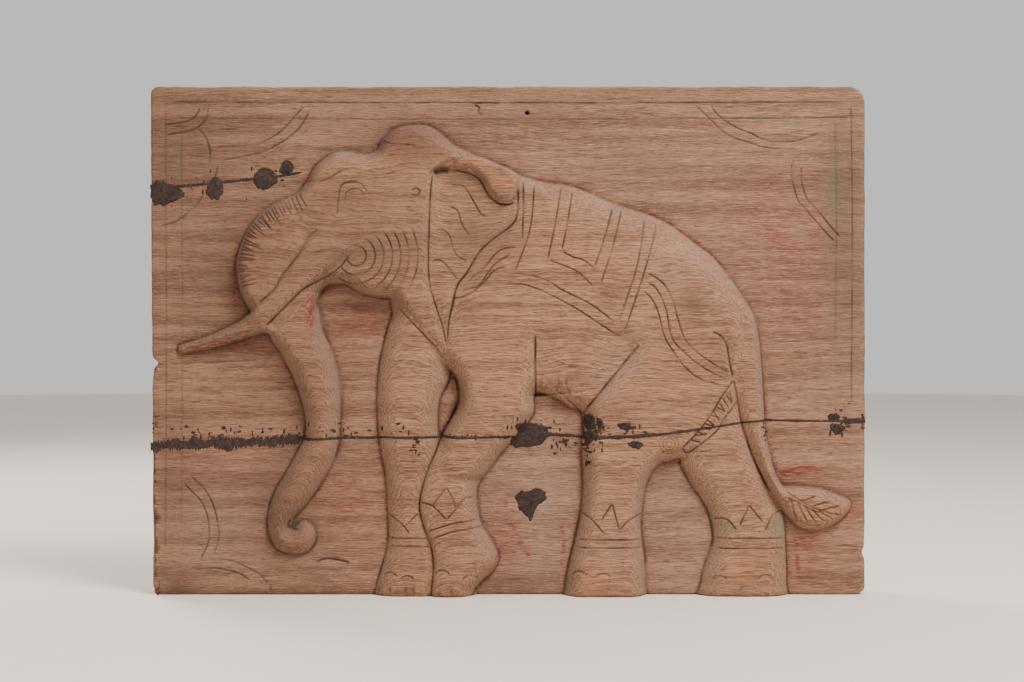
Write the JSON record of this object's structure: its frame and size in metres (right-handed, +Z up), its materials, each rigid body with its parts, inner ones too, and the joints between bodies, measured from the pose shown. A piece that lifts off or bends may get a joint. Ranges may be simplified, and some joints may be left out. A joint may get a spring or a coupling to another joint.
{
  "type": "carved relief panel",
  "caption": "Old wooden wall panel with a walking elephant in saddle cloth and anklets carved in low relief on planks joined edge to edge with dark pitch.",
  "frame": {"origin": "middle of the panel's footprint, on the lower edge it stands on", "axes": "+X along the width, to the right of someone who faces the carving; +Y into the panel, from the carved face to the back; +Z up"},
  "size_m": [0.716, 0.052, 0.509],
  "materials": {
    "weathered_wood": "Dry weathered teak, pinkish brown, open horizontal grain, traces of red and green paint",
    "dowel_wood": "Split hardwood peg, shaved round",
    "pitch": "Dull brown-black pitch, pressed in by hand and chipped"
  },
  "bodies": {
    "root": {"upper_board": "weathered_wood", "lower_board": "weathered_wood", "joint_dowels": "dowel_wood", "seam_filler": "pitch", "seam_dabs": "pitch", "crack_filler": "pitch", "knot_filler": "pitch"}
  },
  "joints": []
}
